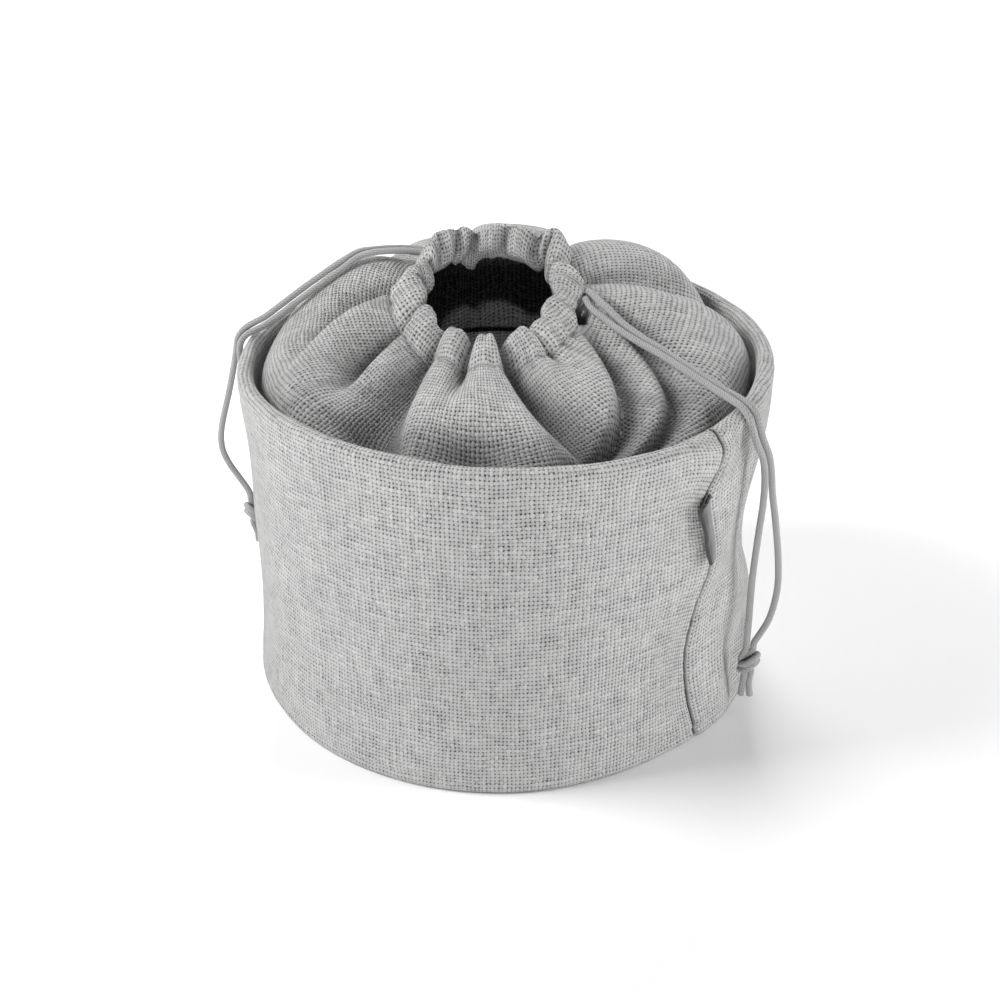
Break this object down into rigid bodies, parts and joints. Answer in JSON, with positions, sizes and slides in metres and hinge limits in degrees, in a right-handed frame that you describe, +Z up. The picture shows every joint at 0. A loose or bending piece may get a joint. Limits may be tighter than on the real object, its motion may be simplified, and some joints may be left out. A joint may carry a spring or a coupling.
{
  "type": "vegetable storage bag",
  "caption": "Round cloth storage bag with a turned-over rim, flat base and gathered drawstring collar; knotted cords hang over the rim and a bare ribbon label sits in the side seam.",
  "frame": {"origin": "middle of the base on the surface the bag stands on", "axes": "+Z up along the bag's axis, -Y towards the front, the seam label on the +X side of the front"},
  "size_m": [0.2691, 0.2485, 0.214],
  "materials": {
    "cloth": "coarse plain weave, matt",
    "collar_cloth": "open coarse plain weave, matt",
    "cord": "twisted cord, matt",
    "ribbon": "woven ribbon, satin"
  },
  "bodies": {
    "root": {"wall": "cloth", "base": "cloth", "collar": "collar_cloth", "side_label": "ribbon", "cord_right_front": "cord", "cord_right_back": "cord", "cord_left_outer": "cord", "cord_left_inner": "cord", "knot_right": "cord", "knot_left": "cord"}
  },
  "joints": []
}
